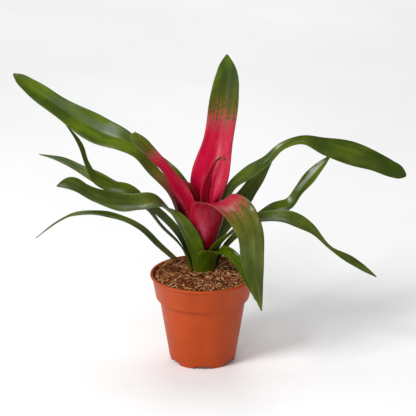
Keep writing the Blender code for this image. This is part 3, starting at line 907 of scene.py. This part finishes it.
def add_stage(settings):
    scene = bpy.context.scene
    low, high = (Vector(corner) for corner in FRAME_BOUNDS)
    aim = Vector((AIM_X, 0.0, high.z * AIM_SHARE))
    half = FLOOR_HALF
    corners = [(-half, -half), (half, -half), (half, half), (-half, half)]
    mesh = bpy.data.meshes.new("pale_floor")
    mesh.from_pydata([(x, y, low.z) for x, y in corners], [], [(0, 1, 2, 3)])
    material, _ = grained_material(
        "pale_ground", colours=[(0.88, 0.88, 0.88), (0.92, 0.92, 0.92)],
        roughness=(0.85, 0.95), scale=2.0, stretch=1.0, relief=0.05)
    mesh.materials.append(material)
    floor = bpy.data.objects.new("pale_floor", mesh)
    scene.collection.objects.link(floor)
    world = bpy.data.worlds.new("studio")
    world.use_nodes = True
    sky = world.node_tree.nodes["Background"]
    sky.inputs["Color"].default_value = rgb(1.0, 1.0, 1.0)
    sky.inputs["Strength"].default_value = SKY_STRENGTH
    scene.world = world
    scene.view_settings.view_transform = "Standard"
    for name, place, size, power, target in LAMPS:
        add_area_light(name, place, target or aim, size, power)
    data = bpy.data.cameras.new("camera")
    data.lens = settings.lens
    data.sensor_width = SENSOR_WIDTH
    camera = bpy.data.objects.new("camera", data)
    back = Vector((0.0, -math.cos(settings.elevation), math.sin(settings.elevation)))
    camera.location = aim + back * settings.distance
    camera.rotation_euler = (-back).to_track_quat("-Z", "Y").to_euler()
    scene.collection.objects.link(camera)
    scene.camera = camera


class PotSettings(bpy.types.PropertyGroup):
    segments: bpy.props.IntProperty(
        name="Segments", description="Steps round the pot", default=144, min=24)


class MixSettings(bpy.types.PropertyGroup):
    segments: bpy.props.IntProperty(
        name="Segments", description="Steps round the potting mix", default=140, min=24)
    rings: bpy.props.IntProperty(
        name="Rings", description="Steps from the rim to the middle", default=44, min=6)
    crumbs: bpy.props.IntProperty(
        name="Crumbs", description="Bark flakes on the surface", default=1500, min=1)
    strands: bpy.props.IntProperty(
        name="Strands", description="Loose fibres on the surface", default=420, min=1)


class LeafSettings(bpy.types.PropertyGroup):
    rows: bpy.props.IntProperty(
        name="Rows", description="Steps along each leaf", default=90, min=12)
    columns: bpy.props.IntProperty(
        name="Columns", description="Steps across each leaf", default=16, min=4)
    thickness: bpy.props.FloatProperty(
        name="Thickness", description="Leaf thickness at the midrib in millimetres", default=0.9)
    edge: bpy.props.FloatProperty(
        name="Edge", description="Leaf thickness at the margins in millimetres", default=0.3)
    ripples: bpy.props.FloatProperty(
        name="Ripples", description="Waves along a leaf's margins", default=5.0)
    scars: bpy.props.IntProperty(
        name="Scars", description="Old leaf scars round the stem", default=9, min=1)


class StageSettings(bpy.types.PropertyGroup):
    distance: bpy.props.FloatProperty(
        name="Distance", description="Camera to subject", default=2.0, unit="LENGTH")
    elevation: bpy.props.FloatProperty(
        name="Elevation", description="Camera height angle", default=math.radians(19.3),
        subtype="ANGLE")
    lens: bpy.props.FloatProperty(
        name="Lens", description="Focal length in millimetres", default=175.0)


class BROMELIAD_OT_pot(bpy.types.Operator):
    """Build the nursery pot"""
    bl_idname = "bromeliad.pot"
    bl_label = "Nursery Pot"

    def execute(self, context):
        add_pot(context.scene.bromeliad_pot)
        return {"FINISHED"}


class BROMELIAD_OT_mix(bpy.types.Operator):
    """Build the potting mix with its bark and fibres"""
    bl_idname = "bromeliad.mix"
    bl_label = "Potting Mix"

    def execute(self, context):
        add_mix(context.scene.bromeliad_mix)
        return {"FINISHED"}


class BROMELIAD_OT_crown(bpy.types.Operator):
    """Build the short stem that the leaves clasp"""
    bl_idname = "bromeliad.crown"
    bl_label = "Stem Crown"

    def execute(self, context):
        add_crown(context.scene.bromeliad_leaves)
        return {"FINISHED"}


class BROMELIAD_OT_leaves(bpy.types.Operator):
    """Build every leaf of the rosette"""
    bl_idname = "bromeliad.leaves"
    bl_label = "Leaves"

    def execute(self, context):
        for index, node_name in enumerate(LEAVES):
            add_leaf(node_name, index, context.scene.bromeliad_leaves)
        return {"FINISHED"}


class BROMELIAD_OT_stage(bpy.types.Operator):
    """Set out the floor, the lights and the camera"""
    bl_idname = "bromeliad.stage"
    bl_label = "Stage"

    def execute(self, context):
        add_stage(context.scene.bromeliad_stage)
        return {"FINISHED"}


class BROMELIAD_PT_panel(bpy.types.Panel):
    """Sidebar panel with one button for each piece or group"""
    bl_idname = "BROMELIAD_PT_panel"
    bl_label = "Potted Bromeliad"
    bl_space_type = "VIEW_3D"
    bl_region_type = "UI"
    bl_category = "Bromeliad"

    def draw(self, context):
        for operator in OPERATORS:
            self.layout.operator(operator.bl_idname)
        for label, group in SETTINGS.items():
            box = self.layout.box()
            for key in group.__annotations__:
                box.prop(getattr(context.scene, label), key)


OPERATORS = (BROMELIAD_OT_pot, BROMELIAD_OT_mix, BROMELIAD_OT_crown, BROMELIAD_OT_leaves,
             BROMELIAD_OT_stage)
SETTINGS = {
    "bromeliad_pot": PotSettings,
    "bromeliad_mix": MixSettings,
    "bromeliad_leaves": LeafSettings,
    "bromeliad_stage": StageSettings,
}


def register():
    for item in (*SETTINGS.values(), *OPERATORS, BROMELIAD_PT_panel):
        bpy.utils.register_class(item)
    for label, group in SETTINGS.items():
        setattr(bpy.types.Scene, label, bpy.props.PointerProperty(type=group))


def unregister():
    for label in SETTINGS:
        delattr(bpy.types.Scene, label)
    for item in reversed((*SETTINGS.values(), *OPERATORS, BROMELIAD_PT_panel)):
        bpy.utils.unregister_class(item)


def main():
    register()
    bpy.ops.bromeliad.pot()
    bpy.ops.bromeliad.mix()
    bpy.ops.bromeliad.crown()
    bpy.ops.bromeliad.leaves()
    bpy.ops.bromeliad.stage()


if __name__ == "__main__":
    main()
